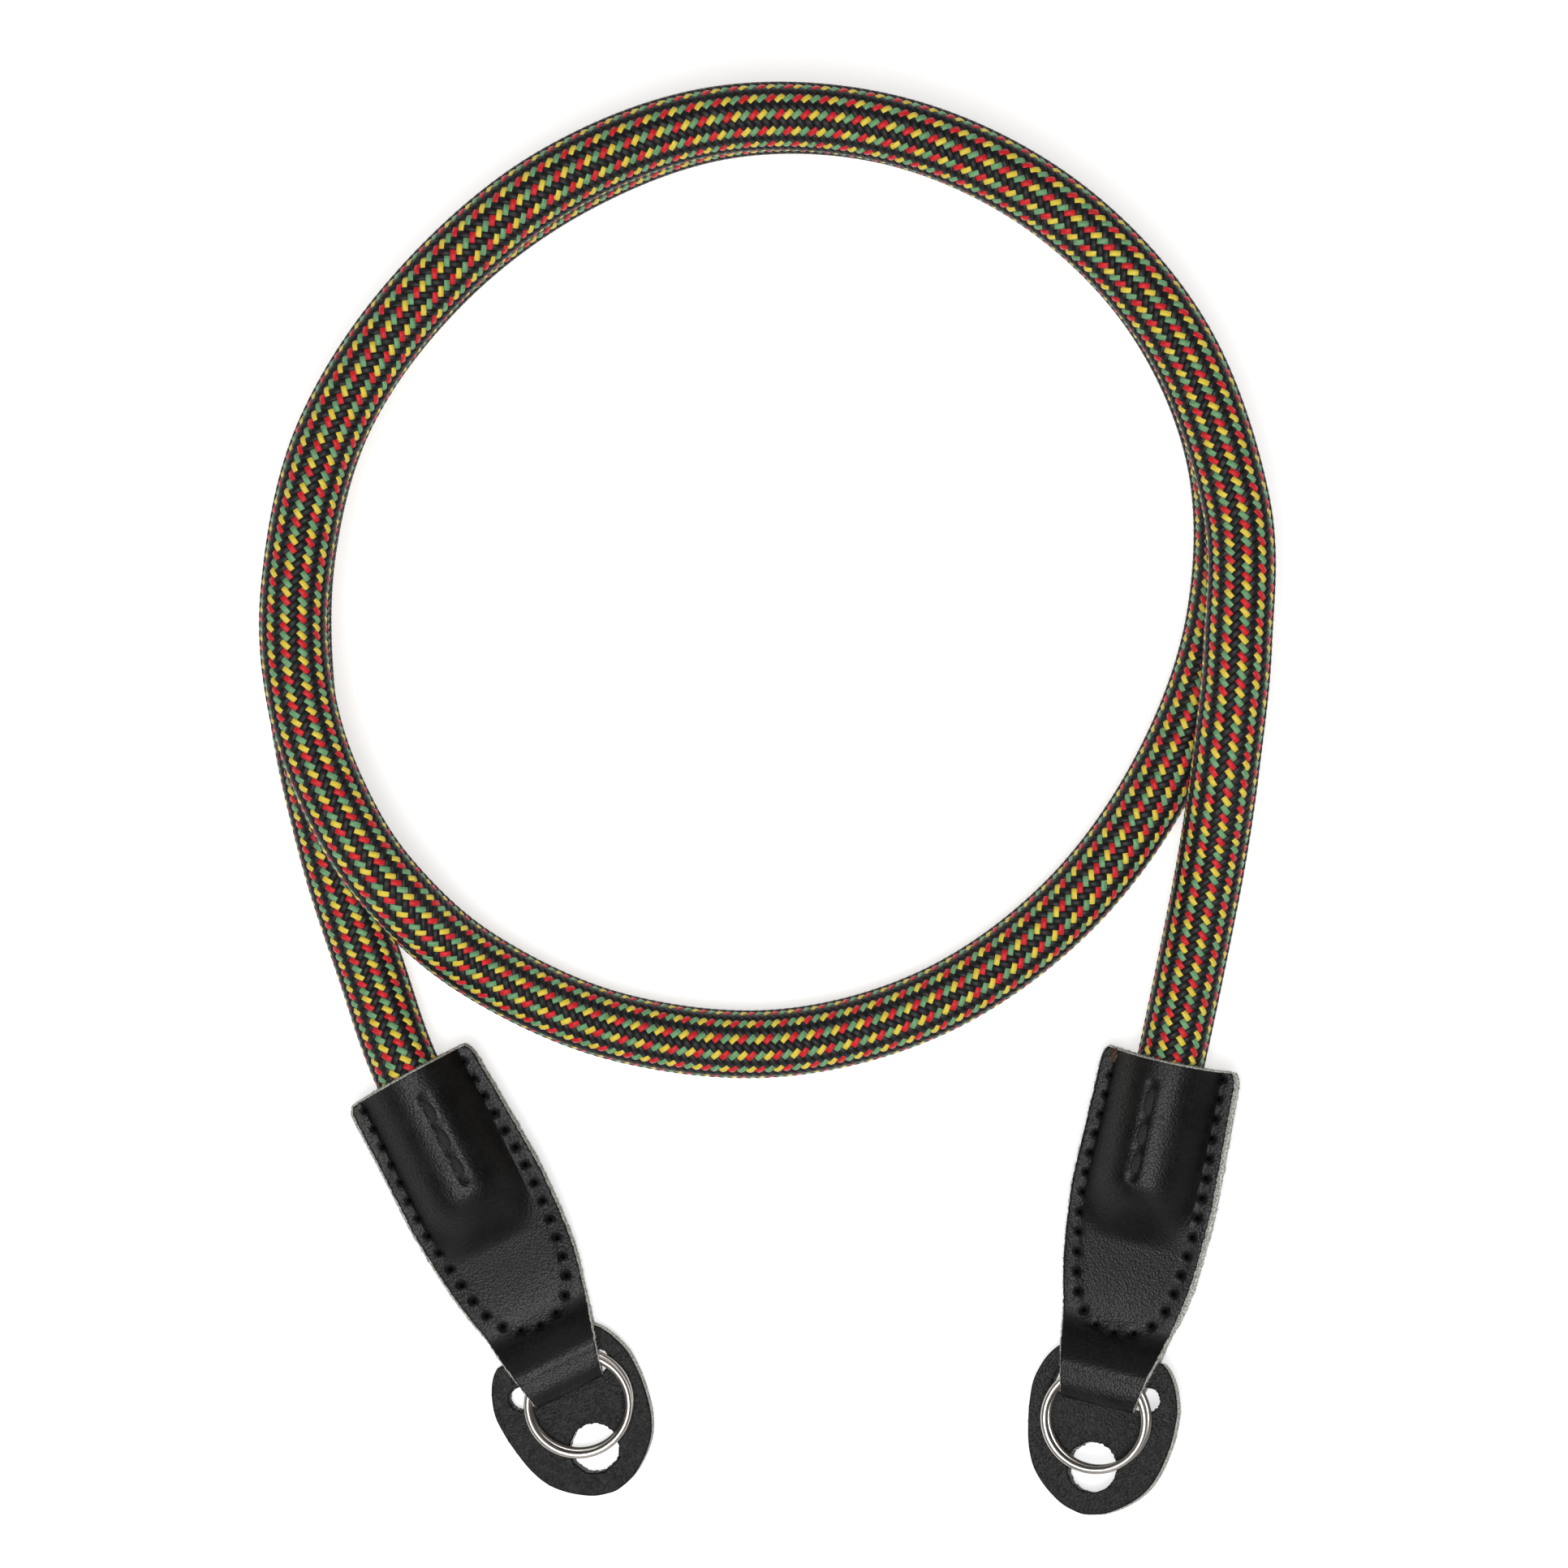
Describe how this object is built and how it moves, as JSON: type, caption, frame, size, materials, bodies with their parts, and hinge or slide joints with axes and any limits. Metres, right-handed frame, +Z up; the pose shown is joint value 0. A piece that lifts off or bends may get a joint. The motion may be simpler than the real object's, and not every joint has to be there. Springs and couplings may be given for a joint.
{
  "type": "camera neck strap",
  "caption": "Braided rope neck strap laid in a loose double ring, with folded leather ends, split rings and protector pads for a camera's strap lugs.",
  "frame": {"origin": "on the floor, at the centre of the box round the two leather ends with their rings and pads", "axes": "+X from the left leather end to the right one, +Y from the ends towards the rope's loop, +Z up"},
  "size_m": [0.1598, 0.2273, 0.0226],
  "materials": {
    "braided_rope": "braided yarns in red, yellow, green and black",
    "black_leather": "fine grain, semi-matte, black thread",
    "nickel_ring": "polished nickel",
    "pad_leather": "fine grain, matte, pale cut edge"
  },
  "bodies": {
    "root": {"rope": "braided_rope", "leather_end_left": "black_leather", "leather_end_right": "black_leather", "split_ring_left": "nickel_ring", "split_ring_right": "nickel_ring", "protector_pad_left": "pad_leather", "protector_pad_right": "pad_leather"}
  },
  "joints": []
}
